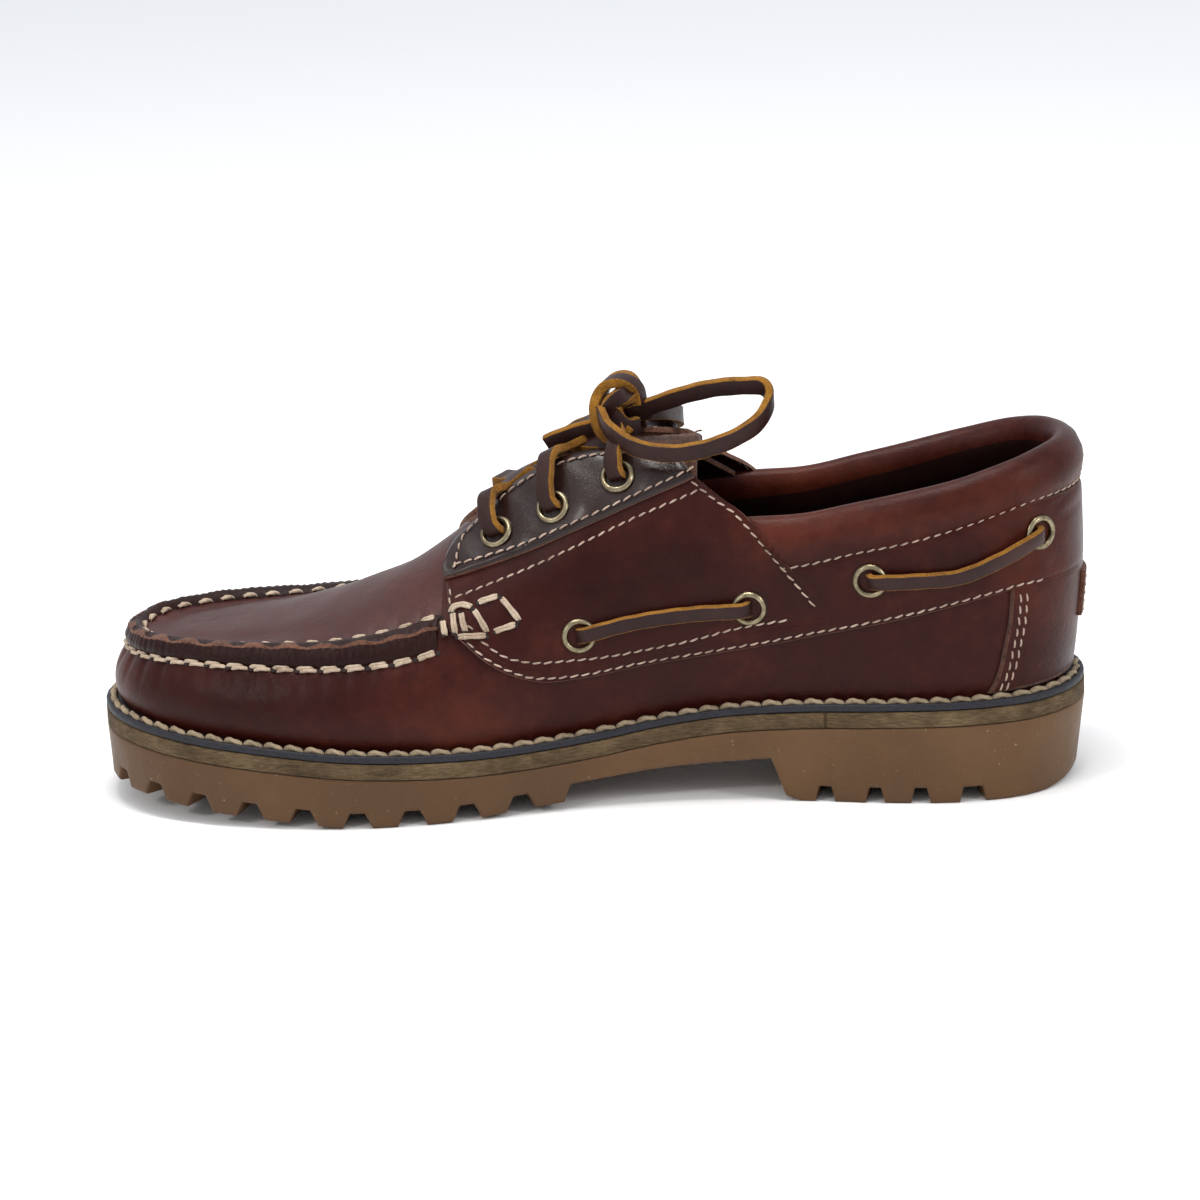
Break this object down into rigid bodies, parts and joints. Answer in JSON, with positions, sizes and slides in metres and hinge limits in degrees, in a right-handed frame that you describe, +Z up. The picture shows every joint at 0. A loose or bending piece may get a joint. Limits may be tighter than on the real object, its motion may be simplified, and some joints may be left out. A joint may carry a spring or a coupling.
{
  "type": "boat shoe",
  "caption": "Moc-toe leather boat shoe on a lug sole, with rawhide laces tied in a bow, side lacing and a padded collar.",
  "frame": {"origin": "centre of the shoe's footprint box on the ground", "axes": "+X towards the heel, so the toe points to -X; +Z up; -Y is the inner side of the right foot"},
  "size_m": [0.301, 0.1061, 0.1266],
  "materials": {
    "leather": "waxy dark red-brown pull-up leather, satin",
    "stay_leather": "glossier dark grey-brown leather of the lace stays",
    "tongue": "dark brown leather with a rough raw edge",
    "lining": "dark brown matt lining leather",
    "rubber_sole": "caramel gum rubber, matt",
    "midsole": "tan fibrous layer with a bare cut edge",
    "welt": "black storm welt, satin",
    "eyelet": "antiqued brass, dull",
    "lace": "flat rawhide strap, dark grain and mustard suede edges",
    "thread": "waxed cream thread"
  },
  "bodies": {
    "root": {"outsole": "rubber_sole", "midsole": "midsole", "welt": "welt", "insole": "lining", "upper": "leather", "tongue": "tongue", "moc_seam": "leather", "collar": "leather", "counter": "leather", "heel_tab": "leather", "ankle_band": "leather", "quarter_medial": "leather", "eyestay_medial": "stay_leather", "quarter_lateral": "leather", "eyestay_lateral": "stay_leather", "eyelet_front_medial": "eyelet", "eyelet_middle_medial": "eyelet", "eyelet_back_medial": "eyelet", "eyelet_quarter_front_medial": "eyelet", "eyelet_quarter_back_medial": "eyelet", "eyelet_band_front_medial": "eyelet", "eyelet_band_back_medial": "eyelet", "eyelet_front_lateral": "eyelet", "eyelet_middle_lateral": "eyelet", "eyelet_back_lateral": "eyelet", "eyelet_quarter_front_lateral": "eyelet", "eyelet_quarter_back_lateral": "eyelet", "eyelet_band_front_lateral": "eyelet", "eyelet_band_back_lateral": "eyelet", "side_lace_front_medial": "lace", "side_lace_back_medial": "lace", "side_lace_front_lateral": "lace", "side_lace_back_lateral": "lace", "lace_cross_front": "lace", "lace_cross_middle": "lace", "lace_rise_medial": "lace", "lace_rise_lateral": "lace", "knot": "lace", "bow_loop_medial": "lace", "bow_loop_lateral": "lace", "bow_end_medial": "lace", "bow_end_lateral": "lace"}
  },
  "joints": []
}
